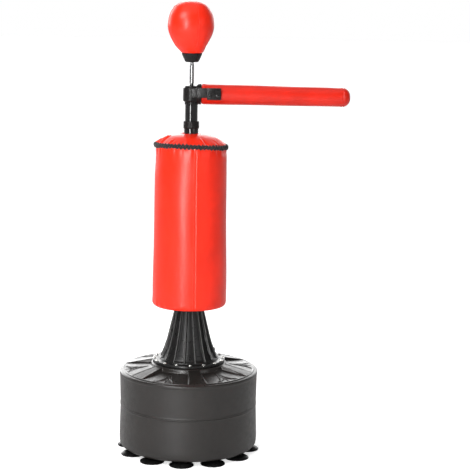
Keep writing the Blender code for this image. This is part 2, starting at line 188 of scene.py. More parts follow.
def lathe(name, profile, columns, warp=None, place=None, sharp_angle=None):
    """A profile of (radius, height) points turned about Z, then moved by the warp.

    The warp takes and gives radius and height at bearings in radians. The profile closes on
    itself when it starts off the axis.
    """
    profile = np.array(profile, float)
    bearings = np.radians(np.arange(columns) * 360.0 / columns)
    radius = np.repeat(profile[:, :1], columns, axis=1)
    height = np.repeat(profile[:, 1:], columns, axis=1)
    bearing = np.repeat(bearings[None, :], len(profile), axis=0)
    if warp:
        radius, height = warp(radius, height, bearing)
    points = on_circle(radius, bearing, height)
    if place is not None:
        matrix = np.array(place, float)
        points = points @ matrix[:3, :3].T + matrix[:3, 3]
    mesh = grid_mesh(name, points, wrap_rows=profile[0, 0] > TOUCHING)
    return weld(mesh, sharp_angle)


def rounded(points, radius, steps=4, closed=False):
    """The outline with small curves for corners. radius is one number, or a list with one each."""
    points = [Vector(p) for p in points]
    count = len(points)
    radii = radius if isinstance(radius, (list, tuple)) else [radius] * count
    path = []
    for i, corner in enumerate(points):
        if not closed and i in (0, count - 1) or radii[i] == 0:
            path.append(tuple(corner))
            continue
        before, after = points[i - 1], points[(i + 1) % count]
        back, ahead = before - corner, after - corner
        reach = min(radii[i], 0.45 * back.length, 0.45 * ahead.length)
        start = corner + back.normalized() * reach
        end = corner + ahead.normalized() * reach
        for step in range(steps + 1):
            t = step / steps
            path.append(tuple(start * (1 - t) ** 2 + corner * 2 * t * (1 - t) + end * t**2))
    return path


def finer(points, spacing, closed=False):
    """The outline with points added so that none are further apart than spacing."""
    path = []
    pairs = list(zip(points, points[1:] + points[:1])) if closed else list(zip(points, points[1:]))
    for start, end in pairs:
        pieces = max(1, math.ceil(math.dist(start, end) / spacing))
        for k in range(pieces):
            t = k / pieces
            path.append(tuple(a + (b - a) * t for a, b in zip(start, end)))
    return path if closed else path + [tuple(points[-1])]


def curved(points, pieces):
    """Points along a smooth curve through the given points."""
    ends = [points[0], *points, points[-1]]
    path = []
    for i in range(len(points) - 1):
        before, start, end, after = (Vector(p) for p in ends[i : i + 4])
        for step in range(pieces):
            t = step / pieces
            slope_in, slope_out = (end - before) / 2, (after - start) / 2
            path.append(
                start * (2 * t**3 - 3 * t**2 + 1)
                + slope_in * (t**3 - 2 * t**2 + t)
                + end * (3 * t**2 - 2 * t**3)
                + slope_out * (t**3 - t**2)
            )
    return [tuple(p) for p in path] + [tuple(points[-1])]


def tube_mesh(name, path, radius, sides=8, closed=True):
    """A round tube along a path of points. radius is one number, or one for each point."""
    path = np.array(path, float)
    count = len(path)
    radii = np.broadcast_to(np.array(radius, float), (count,))
    if closed:
        ahead = np.roll(path, -1, axis=0) - np.roll(path, 1, axis=0)
    else:
        ahead = np.gradient(path, axis=0)
    ahead /= np.linalg.norm(ahead, axis=1)[:, None]
    guide = np.array([0.0, 0.0, 1.0])
    side = np.cross(ahead, guide)
    weak = np.linalg.norm(side, axis=1) < 0.2
    side[weak] = np.cross(ahead[weak], np.array([1.0, 0.0, 0.0]))
    side /= np.linalg.norm(side, axis=1)[:, None]
    up = np.cross(side, ahead)
    angles = np.arange(sides) * 2 * math.pi / sides
    cosines, sines = np.cos(angles)[None, :, None], np.sin(angles)[None, :, None]
    around_path = side[:, None] * cosines + up[:, None] * sines
    points = path[:, None] + around_path * radii[:, None, None]
    if not closed:
        ends = [path[:1, None].repeat(sides, 1), path[-1:, None].repeat(sides, 1)]
        points = np.concatenate([ends[0], points, ends[1]])
    return weld(grid_mesh(name, points, wrap_rows=closed))


def joined(name, meshes):
    """One mesh from several, which are then removed."""
    bm = bmesh.new()
    for mesh in meshes:
        bm.from_mesh(mesh)
    for mesh in meshes:
        bpy.data.meshes.remove(mesh)
    return mesh_from(bm, name)


def rounded_box(name, low, high, width):
    """A box between two corners with its edges rounded."""
    low, high = Vector(low), Vector(high)
    bm = bmesh.new()
    size = Matrix.Diagonal((*(high - low), 1.0))
    bmesh.ops.create_cube(bm, size=1.0, matrix=Matrix.Translation((low + high) / 2) @ size)
    edges = bm.edges[:]
    bmesh.ops.bevel(bm, geom=edges, offset=width, segments=3, profile=0.5, affect="EDGES")
    return mesh_from(bm, name)


def cut_and_joined(name, base, unions, cuts):
    """base with other meshes joined to it and cutters taken from it, all by Booleans."""
    obj = placed(name, base)
    helpers = []
    for operation, meshes in (("UNION", unions), ("DIFFERENCE", cuts)):
        for mesh in meshes:
            helper = placed(mesh.name, mesh)
            helpers.append(helper)
            modifier = obj.modifiers.new(mesh.name, "BOOLEAN")
            modifier.operation = operation
            modifier.solver = "EXACT"
            modifier.object = helper
    graph = bpy.context.evaluated_depsgraph_get()
    result = bpy.data.meshes.new_from_object(obj.evaluated_get(graph))
    for extra in [obj, *helpers]:
        data = extra.data
        bpy.data.objects.remove(extra)
        bpy.data.meshes.remove(data)
    result.name = name
    result.shade_smooth()
    result.set_sharp_from_angle(angle=math.radians(32.0))
    return result


# Places and shapes in numpy


def bearing_point(radius, bearing, z=0.0):
    angle = math.radians(bearing)
    return Vector((radius * math.sin(angle), -radius * math.cos(angle), z))


def around(count, start, radius):
    """Places on a circle round the mast, each turned to face outward."""
    bearings = [start + 360.0 * i / count for i in range(count)]
    return [
        Matrix.Translation(bearing_point(radius, b)) @ Matrix.Rotation(math.radians(b), 4, "Z")
        for b in bearings
    ]


def arm_place(height=ARM_Z, droop=ARM_DROOP):
    """Local +Z becomes the arm's direction: +X, drooping a little."""
    return Matrix.Translation((0.0, 0.0, height)) @ Matrix.Rotation(
        math.radians(90.0 + droop), 4, "Y"
    )


def pad_place():
    """The padding sits a little high on its tube and lifts towards the end."""
    return arm_place(PAD_Z, PAD_DROOP)


def on_circle(radius, bearing, height):
    """Points at bearings in radians round the mast."""
    return np.stack([radius * np.sin(bearing), -radius * np.cos(bearing), height], axis=-1)


def step_up(value, low, high):
    """0 below low, 1 above high, and smooth between them."""
    t = np.clip((value - low) / (high - low), 0.0, 1.0)
    return t * t * (3.0 - 2.0 * t)


def between(value, low, full, fading, gone):
    """Rises from 0 to 1 between low and full, and falls back between fading and gone."""
    return step_up(value, low, full) * (1.0 - step_up(value, fading, gone))


def bump(value, width):
    return np.exp(-((value / width) ** 2))


def sewn(across, depth, width, ridge, away, spread):
    """A stitched groove with a soft ridge on each side of it."""
    return ridge * bump(np.abs(across) - away, spread) - depth * bump(across, width)


def crests(bearing, count, power):
    """Crests of height 1, evenly spaced round a circle."""
    return (0.5 + 0.5 * np.cos(count * bearing)) ** power


def leftness(bearing):
    """From 0 on the right to 1 on the left."""
    return (1.0 - np.sin(bearing)) / 2.0


def from_nearest(bearing, start, sector):
    """Degrees from the nearest of the bearings start, start + sector, and so on."""
    return (np.degrees(bearing) - start + sector / 2) % sector - sector / 2


def turn_between(bearing, centre):
    """The angle in radians from a bearing in degrees to each bearing, from -pi to pi."""
    away = bearing - math.radians(centre)
    return (away + math.pi) % (2 * math.pi) - math.pi


def waves(seed, count, low, high):
    """A function of bearing that undulates between about -1 and 1, the same each run."""
    rng = np.random.default_rng(seed)
    turns = rng.integers(low, high + 1, count)
    phases = rng.uniform(0, 2 * math.pi, count)
    sizes = rng.uniform(0.5, 1.0, count)
    sizes /= np.sqrt((sizes**2).sum())

    def value(bearing, shift=0.0):
        total = np.zeros_like(bearing)
        for n, phase, size in zip(turns, phases, sizes):
            total = total + size * np.sin(n * bearing + phase + shift * (1 + n % 3))
        return total

    return value


# Materials


class Nodes:
    """Short ways to build the node tree of a material or a world."""

    def __init__(self, owner):
        owner.use_nodes = True
        self.tree = owner.node_tree

    def add(self, kind, **settings):
        node = self.tree.nodes.new(kind)
        for key, value in settings.items():
            setattr(node, key, value)
        return node

    def link(self, source, target):
        self.tree.links.new(source, target)

    def feed(self, target, value):
        """Puts a number, a colour or another node's output into an input."""
        if isinstance(value, bpy.types.NodeSocket):
            self.link(value, target)
        else:
            target.default_value = value

    def split(self, vector):
        node = self.add("ShaderNodeSeparateXYZ")
        self.link(vector, node.inputs["Vector"])
        return node.outputs

    def math(self, operation, first, second):
        node = self.add("ShaderNodeMath", operation=operation)
        self.feed(node.inputs[0], first)
        self.feed(node.inputs[1], second)
        return node.outputs["Value"]

    def mix(self, factor, first, second):
        """A number between two numbers."""
        node = self.add("ShaderNodeMix", data_type="FLOAT")
        self.link(factor, node.inputs["Factor"])
        self.feed(node.inputs[2], first)
        self.feed(node.inputs[3], second)
        return node.outputs[0]

    def mix_colour(self, factor, first, second):
        node = self.add("ShaderNodeMix", data_type="RGBA")
        self.link(factor, node.inputs["Factor"])
        self.feed(node.inputs[6], first)
        self.feed(node.inputs[7], second)
        return node.outputs[2]

    def ramp(self, value, low, high, out_low, out_high):
        """From out_low to out_high, smoothly, as the value goes from low to high."""
        node = self.add("ShaderNodeMapRange", interpolation_type="SMOOTHSTEP")
        self.link(value, node.inputs["Value"])
        node.inputs["From Min"].default_value = low
        node.inputs["From Max"].default_value = high
        node.inputs["To Min"].default_value = out_low
        node.inputs["To Max"].default_value = out_high
        return node.outputs["Result"]


class Look(Nodes):
    """A Principled material built up from small named layers of nodes."""

    def __init__(self, name, colour, roughness, metallic=0.0):
        self.material = bpy.data.materials.new(name)
        super().__init__(self.material)
        self.shader = self.tree.nodes["Principled BSDF"]
        self.shader.inputs["Metallic"].default_value = metallic
        self.shader.inputs["Roughness"].default_value = roughness
        self.shader.inputs["Base Color"].default_value = (*colour, 1.0)
        self.place = self.tree.nodes.new("ShaderNodeTexCoord").outputs["Object"]
        self.material.diffuse_color = (*colour, 1.0)

    def stretched(self, scale):
        """Object coordinates, scaled differently along each axis."""
        mapping = self.add("ShaderNodeMapping")
        mapping.inputs["Scale"].default_value = scale
        self.link(self.place, mapping.inputs["Vector"])
        return mapping.outputs["Vector"]

    def noise(self, scale, detail=4.0, roughness=0.55, stretch=None):
        node = self.add("ShaderNodeTexNoise")
        node.inputs["Scale"].default_value = scale
        node.inputs["Detail"].default_value = detail
        node.inputs["Roughness"].default_value = roughness
        self.link(self.stretched(stretch) if stretch else self.place, node.inputs["Vector"])
        return node.outputs["Fac"]

    def cells(self, scale, feature="F1", smooth=0.0, stretch=None):
        node = self.add("ShaderNodeTexVoronoi", feature=feature)
        node.inputs["Scale"].default_value = scale
        if feature == "SMOOTH_F1":
            node.inputs["Smoothness"].default_value = smooth
        self.link(self.stretched(stretch) if stretch else self.place, node.inputs["Vector"])
        return node.outputs["Distance"]

    def tint(self, value, dark, light):
        """Base colour between two shades, by a value from 0 to 1."""
        colour = self.mix_colour(value, (*dark, 1.0), (*light, 1.0))
        self.link(colour, self.shader.inputs["Base Color"])
        return colour

    def rough(self, value, low, high):
        self.link(self.ramp(value, 0.3, 0.7, low, high), self.shader.inputs["Roughness"])

    def relief(self, *layers):
        """Bump from (height, strength, distance) layers, one over another."""
        normal = None
        for height, strength, distance in layers:
            node = self.add("ShaderNodeBump")
            self.feed(node.inputs["Strength"], strength)
            node.inputs["Distance"].default_value = distance
            self.link(height, node.inputs["Height"])
            if normal:
                self.link(normal, node.inputs["Normal"])
            normal = node.outputs["Normal"]
        self.link(normal, self.shader.inputs["Normal"])

    def set(self, **values):
        for key, value in values.items():
            self.shader.inputs[key.replace("_", " ")].default_value = value
        return self.material


def shade(colour, factor):
    return tuple(min(1.0, c * factor) for c in colour)


def leather_look(name="red_leatherette_skin", red=(0.84, 0.0205, 0.0040)):
    """Coated leatherette: small pebbled grain, faint creases, slow changes of colour and gloss."""
    look = Look(name, red, 0.40)
    slow = look.noise(9.0, 3.0)
    look.tint(look.ramp(slow, 0.30, 0.70, 0.0, 1.0), shade(red, 0.90), shade(red, 1.08))
    look.rough(look.noise(26.0, 3.0, 0.5), 0.30, 0.35)
    pebbles = look.cells(620.0, "SMOOTH_F1", 0.35)
    pores = look.noise(1500.0, 3.0, 0.6)
    creases = look.noise(42.0, 6.0, 0.62, stretch=(1.0, 1.0, 0.55))
    look.relief((creases, 0.07, 0.0030), (pebbles, 0.16, 0.0006), (pores, 0.12, 0.0002))
    return look.set(Specular_IOR_Level=0.34, Coat_Weight=0.04, Coat_Roughness=0.22)


def tank_look():
    """Blow-moulded plastic with a fine sandy grain, scuffed a little."""
    grey = (0.0135, 0.0115, 0.0103)
    look = Look("tank_plastic_skin", grey, 0.45)
    patches = look.noise(7.0, 6.0, 0.6)
    look.tint(look.ramp(patches, 0.30, 0.72, 0.0, 1.0), shade(grey, 0.85), shade(grey, 1.22))
    marks = look.noise(60.0, 6.0, 0.65)
    on_top = look.ramp(look.split(look.place)[2], 0.2755, 0.2830, 0.0, 1.0)
    wall, deck = look.ramp(marks, 0.3, 0.7, 0.38, 0.50), look.ramp(marks, 0.3, 0.7, 0.26, 0.38)
    look.link(look.mix(on_top, wall, deck), look.shader.inputs["Roughness"])
    grain = look.cells(520.0, "SMOOTH_F1", 0.6)
    sand = look.noise(1100.0, 4.0, 0.7)
    ripple = look.noise(24.0, 3.0, 0.5)
    look.relief(
        (ripple, 0.08, 0.0030), (grain, look.ramp(on_top, 0.0, 1.0, 0.36, 0.06), 0.0007),
        (sand, look.ramp(on_top, 0.0, 1.0, 0.24, 0.06), 0.0003),
    )
    return look.set(Specular_IOR_Level=0.50)


def moulded(name, roughness, black, specular):
    """Injection-moulded black plastic with fine spark texture: the look, and its colour output."""
    look = Look(name, black, 0.4)
    colour = look.tint(look.noise(30.0, 5.0, 0.6), shade(black, 0.75), shade(black, 1.5))
    look.rough(look.noise(75.0, 5.0, 0.65), *roughness)
    look.relief((look.noise(1300.0, 3.0, 0.7), 0.22, 0.0003), (look.noise(40.0, 3.0), 0.06, 0.002))
    look.set(Specular_IOR_Level=specular)
    return look, colour


def black_look():
    look, _ = moulded("black_plastic_skin", (0.24, 0.34), (0.0095, 0.0090, 0.0090), 0.17)
    return look.material


def pedestal_look():
    """Satin black plastic; the crowns of the ribs are painted lighter than the wall between them, a
    painted highlight for the light their rounded edges catch.
    """
    # Painted highlight: a light grey for the rib crowns, standing for the light they reflect
    crest_highlight_colour = (0.085, 0.084, 0.082, 1.0)
    black = (0.0065, 0.0062, 0.0060)
    look, wall = moulded("pedestal_plastic_skin", (0.26, 0.38), black, 0.34)
    along_x, along_y, height = look.split(look.place)
    bearing = look.math("ARCTAN2", along_x, look.math("MULTIPLY", along_y, -1.0))
    turned = look.math("SUBTRACT", bearing, math.radians(RIB_START))
    from_rib = look.math("PINGPONG", turned, math.pi / RIB_COUNT)
    level = look.add("ShaderNodeVectorMath", operation="MULTIPLY")
    look.link(look.place, level.inputs[0])
    level.inputs[1].default_value = (1.0, 1.0, 0.0)
    reach = look.add("ShaderNodeVectorMath", operation="LENGTH")
    look.link(level.outputs["Vector"], reach.inputs[0])
    across = look.math("MULTIPLY", from_rib, reach.outputs["Value"])
    # Where the painted highlight goes: on each rib's crown, between the foot ring and the top, in
    # patches
    crest_highlight_mask = look.ramp(across, 0.0012, 0.0021, 1.0, 0.0)
    for mask in (
        look.ramp(height, 0.3250, 0.3290, 0.0, 1.0),
        look.ramp(height, 0.4985, 0.5010, 1.0, 0.0),
        look.ramp(look.noise(90.0, 4.0), 0.2, 0.6, 0.6, 1.0),
    ):
        crest_highlight_mask = look.math("MULTIPLY", crest_highlight_mask, mask)
    look.link(look.mix_colour(crest_highlight_mask, wall, crest_highlight_colour), look.shader.inputs["Base Color"])
    return look.material


def paint_look():
    """Gloss black powder coat on steel tube, with faint orange peel."""
    black = (0.0060, 0.0060, 0.0065)
    look = Look("gloss_black_paint", black, 0.12)
    look.tint(look.noise(18.0, 3.0), shade(black, 0.8), shade(black, 1.4))
    look.rough(look.noise(120.0, 4.0, 0.6), 0.08, 0.16)
    look.relief((look.noise(380.0, 2.0, 0.5), 0.05, 0.0006))
    return look.set(Specular_IOR_Level=0.50, Coat_Weight=0.25, Coat_Roughness=0.05)


def rubber_look():
    black = (0.0030, 0.0030, 0.0030)
    look = Look("black_rubber_skin", black, 0.32)
    look.tint(look.ramp(look.noise(45.0, 5.0), 0.4, 0.7, 0.0, 1.0), black, shade(black, 2.6))
    look.rough(look.noise(65.0, 5.0, 0.6), 0.24, 0.42)
    look.relief((look.noise(420.0, 4.0), 0.12, 0.0004))
    return look.set(Specular_IOR_Level=0.11)


def grey_look():
    grey = (0.30, 0.30, 0.29)
    look = Look("grey_plastic_skin", grey, 0.5)
    look.tint(look.noise(50.0, 4.0), shade(grey, 0.85), shade(grey, 1.1))
    look.rough(look.noise(90.0, 4.0), 0.42, 0.56)
    look.relief((look.noise(900.0, 3.0), 0.15, 0.0003))
    return look.set(Specular_IOR_Level=0.45)


def metal_look(name, colour, roughness, grain, spread):
    """Plated or polished metal with fine marks."""
    look = Look(name, colour, roughness[0], 1.0)
    look.tint(look.noise(spread, 4.0), shade(colour, 0.82), shade(colour, 1.06))
    look.rough(look.noise(spread * 2, 5.0, 0.6), *roughness)
    look.relief((look.noise(grain, 3.0, 0.6, stretch=(1.0, 1.0, 0.25)), 0.06, 0.0003))
    return look.material


def cord_look():
    """Black braided cord: fine crossing strands."""
    black = (0.0075, 0.0075, 0.0080)
    look = Look("braided_black_cord", black, 0.75)
    strands = look.cells(900.0, "F1", stretch=(1.0, 1.0, 0.6))
    look.tint(look.ramp(strands, 0.1, 0.7, 0.0, 1.0), shade(black, 2.6), shade(black, 0.5))
    look.rough(look.noise(300.0, 4.0), 0.62, 0.85)
    look.relief((strands, 0.6, 0.0006), (look.noise(2200.0, 3.0), 0.3, 0.0002))
    return look.set(Specular_IOR_Level=0.35, Sheen_Weight=0.2, Sheen_Roughness=0.5)


def foam_look():
    cream = (0.72, 0.68, 0.55)
    look = Look("foam_skin", cream, 0.9)
    look.tint(look.noise(160.0, 5.0), shade(cream, 0.8), shade(cream, 1.08))
    look.rough(look.noise(300.0, 3.0), 0.85, 0.98)
    look.relief((look.cells(350.0), 0.5, 0.0015))
    return look.material


def floor_look():
    """A white studio floor, lit from within so that it stays white far from the lamps."""
    white = (0.90, 0.90, 0.90)
    look = Look("pale_floor", white, 0.8)
    look.tint(look.noise(1.2, 3.0), shade(white, 0.99), shade(white, 1.02))
    look.relief((look.noise(90.0, 3.0), 0.03, 0.0005))
    look.shader.inputs["Emission Color"].default_value = WHITE
    rays = look.add("ShaderNodeLightPath")
    seen = look.ramp(rays.outputs["Is Camera Ray"], 0.0, 1.0, 0.0, 0.62)
    look.link(seen, look.shader.inputs["Emission Strength"])
    return look.set(Specular_IOR_Level=0.1)


# Base tank


def deck_warp(radius, height, bearing):
    """Six raised bands with beaded edges run down the shoulder; the panels between are dished.

    Curved ribs stand up in each panel.
    """
    outer_r, inner_r = LEDGE_R - 0.0022, 0.1325
    on_slope = (height > 0.2860) & (radius < LEDGE_R + 1e-6) & (radius > 0.1265)
    inward = np.clip((outer_r - radius) / (outer_r - inner_r), 0.0, 1.0)
    sector = 360.0 / BAND_COUNT
    turned = from_nearest(bearing, BAND_START, sector)
    from_band = (np.abs(turned) - BAND_HALF) * math.pi / 180.0 * radius
    inner_wall = step_up(radius, 0.1285, inner_r)
    panel = step_up(from_band, 0.0, 0.0024) * inner_wall
    depth = 0.0012 + 0.0100 * inward**0.85
    drop = depth * panel * step_up(outer_r - radius, 0.0, 0.0020)
    bead = 0.0010 * bump(from_band + 0.0022, 0.0009) * step_up(radius, 0.1285, 0.1310)
    bead += 0.0007 * bump(from_band + 0.0062, 0.0009) * step_up(radius, 0.1285, 0.1310)
    bead = bead * step_up(outer_r - radius, 0.0, 0.0010)
    side = np.where(turned > 0, turned - sector / 2, turned + sector / 2)
    across = np.radians(side) * radius
    veins = leaf_veins(1.0 - inward, across) * panel
    height = np.where(on_slope, height - drop + bead + veins, height)
    return radius, height


def leaf_veins(outward, across):
    """Heights of a panel's curved ribs, by share of the way out and distance across."""
    height = 0.0016 * bump(across, 0.0019)
    for hand in (-1.0, 1.0):
        for start, reach, bend in ((0.10, 0.034, 1.5), (0.34, 0.050, 1.8), (0.58, 0.060, 2.2)):
            along = np.clip((outward - start) / (1.0 - start), 0.0, 1.0)
            gap = (across - hand * reach * along**bend) / np.sqrt(1.0 + 0.6 * along)
            vein = 0.0019 * bump(gap, 0.0018) * step_up(outward, start, start + 0.05)
            height = np.maximum(height, vein)
    return height * between(outward, 0.04, 0.14, 0.90, 0.98)


def make_tank(look):
    lid = [
        (0.0900, 0.3085), (0.1140, 0.3085), (0.1146, DECK_Z), (0.1262, DECK_Z), (0.1284, 0.3091),
        (LEDGE_R - 0.0012, LEDGE_Z + 0.0003), (LEDGE_R + 0.0002, LEDGE_Z),
        (LEDGE_R + 0.0016, 0.2843), (0.2366, 0.2836), (TANK_R, 0.2808), (TANK_R, 0.2737),
        (0.2387, 0.2712), (WAIST_R, SEAM_Z + 0.0062), (WAIST_R + 0.0009, SEAM_Z + 0.0036),
        (WAIST_R + 0.0009, SEAM_Z + 0.0006), (WAIST_R - 0.0004, SEAM_Z + 0.0001),
        (WAIST_R - 0.0040, SEAM_Z + 0.0001), (0.2335, 0.2500), (0.2200, 0.2700), (0.1300, 0.2860),
        (0.0900, 0.2900),
    ]
    corners = [0.0003] * 3 + [0.0008, 0.0012, 0.0008, 0.0008, 0.0010, 0.0018, 0.0022, 0.0022]
    corners += [0.0020, 0.0030, 0.0007, 0.0008, 0.0] + [0.0] * 5
    outline = finer(rounded(lid, corners, steps=3, closed=True), 0.0160, closed=True)
    slope = [p for p in outline if p[1] > LEDGE_Z - 0.0002 and p[0] > 0.1270]
    first, last = outline.index(slope[0]), outline.index(slope[-1])
    outline = outline[:first] + finer(slope, 0.0020)[:-1] + outline[last:]
    mesh = lathe("tank_lid_skin", outline, 672, deck_warp)
    new_piece(mesh, look, "base", ["tank_upper_shell"])

    floor = TANK_LOW.z
    tub = [
        (0.0, floor + 0.0040), (0.2230, floor + 0.0040), (0.2330, 0.0320),
        (WAIST_R - 0.0040, SEAM_Z), (WAIST_R - 0.0004, SEAM_Z),
        (WAIST_R + 0.0009, SEAM_Z - 0.0006), (WAIST_R + 0.0009, SEAM_Z - 0.0030),
        (WAIST_R, SEAM_Z - 0.0056), (TANK_R, 0.0430), (0.2385, 0.0260), (0.2335, 0.0185),
        (0.2250, floor), (0.0, floor),
    ]
    corners = [0.0, 0.002, 0.004, 0.0, 0.0, 0.0008, 0.0008, 0.003, 0.012, 0.006, 0.004, 0.004, 0.0]
    outline = finer(rounded(tub, corners), 0.008)
    mesh = lathe("tank_tub_skin", outline, 360)
    new_piece(mesh, look, "base", ["tank_lower_shell"])


def make_suction_cups(look):
    """Each is a soft dish with a rolled lip under a round stem."""
    profile = [
        (0.0, 0.0285), (0.0046, 0.0285), (0.0050, 0.0280), (0.0050, 0.0166), (0.0118, 0.0163),
        (0.0135, 0.0152), (0.0180, 0.0138), (0.0300, 0.0099), (0.0385, 0.0052), (0.0413, 0.0034),
        (0.0420, 0.0021), (0.0420, 0.0004), (0.0416, 0.0), (0.0340, 0.0), (0.0250, 0.0042),
        (0.0150, 0.0070), (0.0, 0.0085),
    ]
    outline = rounded(profile, 0.0016)
    for i, place in enumerate(around(CUP_COUNT, CUP_START, CUP_CIRCLE_R)):
        name = f"suction_cup_skin_{i + 1:02d}"
        mesh = lathe(name, outline, 64, place=place, sharp_angle=50)
        new_piece(mesh, look, "base", [f"suction_cup_{i + 1:02d}"])


def make_filler(black, tank, rubber):
    """The screw plug at the rear, with a fluted rim and a grip bar, on its moulded boss."""
    centre = bearing_point(FILLER_CIRCLE_R, FILLER_BEARING)
    place = Matrix.Translation(centre)
    boss = [(0.0262, 0.2840), (0.0256, 0.2880), (0.0240, 0.3038)]
    boss += [(0.0168, 0.3038), (0.0168, 0.2840)]
    mesh = lathe("filler_boss", rounded(boss, 0.0012, closed=True), 64, place=place)
    new_piece(mesh, tank, "base")

    def flutes(radius, height, bearing):
        rim = step_up(radius, 0.0195, 0.0215) * step_up(height, 0.3060, 0.3075)
        return radius - 0.0007 * rim * crests(bearing, 30, 2), height

    cap = [
        (0.0, 0.3172), (0.0150, 0.3172), (0.0165, 0.3180), (0.0216, 0.3180), (0.0226, 0.3168),
        (0.0226, 0.3066), (0.0162, 0.3066), (0.0155, 0.2862), (0.0120, 0.2862), (0.0120, 0.3095),
        (0.0, 0.3095),
    ]
    outline = finer(rounded(cap, 0.0008), 0.004)
    turned = lathe("filler_cap_round", outline, 180, flutes, place=place)
    low = centre + Vector((-0.0130, -0.0022, 0.3160))
    high = centre + Vector((0.0130, 0.0022, 0.3180))
    grip = rounded_box("filler_grip", low, high, 0.0008)
    mesh = joined("filler_cap_skin", [turned, grip])
    new_piece(mesh, black, "filler_plug", ["filler_cap"])
    paint_node("filler_seal", rubber)


# Pedestal


def rib_edge(z):
    """Radius of the ribs' outer edge at a height: a straight taper that flares at the foot."""
    above = PEDESTAL_TOP_Z - z
    return 0.0478 + 0.240 * above + 0.55 * np.maximum(0.0, above - 0.115) ** 1.6


def pedestal_warp(radius, height, bearing):
    """Stands the thin round-crowned ribs up from the cone's wall, over a low ring at the foot."""
    on_cone = (height > FLANGE_TOP_Z + 0.0004) & (height < 0.5005)
    outside = on_cone & (radius > rib_edge(height) - 0.0200)
    turned = from_nearest(bearing, RIB_START, 360.0 / RIB_COUNT)
    across = np.abs(np.radians(turned)) * rib_edge(height)
    rib = 1.0 - step_up(across, 0.0015, 0.0025)
    crown = 0.0011 * np.minimum(across / 0.0018, 1.0) ** 2
    fillet = 0.0003 * (1.0 - step_up(across, 0.0025, 0.0045))
    ring = 1.0 - step_up(height, 0.3452, 0.3462)
    reach = rib_edge(height) - radius
    wall = fillet + 0.0028 * ring
    radius = np.where(outside, radius + (reach - crown) * rib + (1.0 - rib) * wall, radius)
    return radius, height


def make_pedestal(look):
    spans = ((0.4980, 0.3500, 27), (0.3466, 0.3446, 6), (0.3425, 0.3300, 4))
    heights = [z for high, low, count in spans for z in np.linspace(high, low, count)]
    wall = [(rib_edge(z) - 0.0075 - 0.016 * (0.4980 - z), z) for z in heights]
    top = [(LOWER_TUBE_R + 0.0008, PEDESTAL_TOP_Z), (0.0470, PEDESTAL_TOP_Z)]
    top += [(0.0478, PEDESTAL_TOP_Z - 0.0008), (0.0478, 0.5020), (0.0470, 0.5008)]
    foot = [(0.0990, FLANGE_TOP_Z + 0.0012), (0.1010, FLANGE_TOP_Z)]
    foot += [(FLANGE_R - 0.0012, FLANGE_TOP_Z), (FLANGE_R, FLANGE_TOP_Z - 0.0012)]
    foot += [(FLANGE_R, FLANGE_LOW_Z + 0.0008), (FLANGE_R - 0.0008, FLANGE_LOW_Z)]
    inside = [(0.0920, FLANGE_LOW_Z), (0.0400, 0.4850), (LOWER_TUBE_R + 0.0008, 0.4850)]
    outline = finer(top + wall + foot, 0.0070) + finer(inside, 0.03)
    mesh = lathe("pedestal_skin", outline, 1152, pedestal_warp)
    new_piece(mesh, look, "base", ["pedestal_cone"])


def make_flange_screws(look, rubber):
    """Pan heads with a cross recess, each on a washer."""
    head = FLANGE_TOP_Z + 0.0003
    profile = [
        (0.0, head + 0.0040), (0.0026, head + 0.0038), (0.0042, head + 0.0028),
        (0.0047, head + 0.0014), (0.0047, head + 0.0008), (0.0064, head + 0.0008),
        (0.0066, head + 0.0004), (0.0066, head), (0.0019, head), (0.0019, 0.3000), (0.0, 0.3000),
    ]
    outline = rounded(profile, 0.0005, steps=2)

    def cross(radius, height, bearing):
        arm_x = np.abs(radius * np.sin(bearing))
        arm_y = np.abs(radius * np.cos(bearing))
        slot = 1.0 - step_up(np.minimum(arm_x, arm_y), *CROSS_SLOT)
        slot = slot * (1.0 - step_up(radius, 0.0022, 0.0026))
        top = step_up(height, head + 0.0024, head + 0.0030)
        return radius, height - 0.0012 * slot * top

    outline = finer(outline, 0.0006)
    # The shank is out of sight, so it keeps one point in six
    seen = [p[1] > head - 0.0005 or p[0] == 0.0 for p in outline]
    outline = [p for i, p in enumerate(outline) if seen[i] or i % 6 == 0]
    for i, place in enumerate(around(RIB_COUNT, SCREW_START, SCREW_CIRCLE_R)):
        name = f"flange_screw_skin_{i + 1:02d}"
        mesh = lathe(name, outline, 32, cross, place=place, sharp_angle=40)
        new_piece(mesh, look, "base", [f"flange_screw_{i + 1:02d}"])
    paint_node("flange_gasket", rubber)


def paint_node(name, look):
    """A CAD node whose shape is right keeps it, and gets a finer look."""
    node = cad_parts[name]
    node.data.materials.clear()
    node.data.materials.append(look)


# Mast


def tube_outline(outer, inner, low, top, edge):
    return rounded([(outer, top), (outer, low), (inner, low), (inner, top)], edge, closed=True)


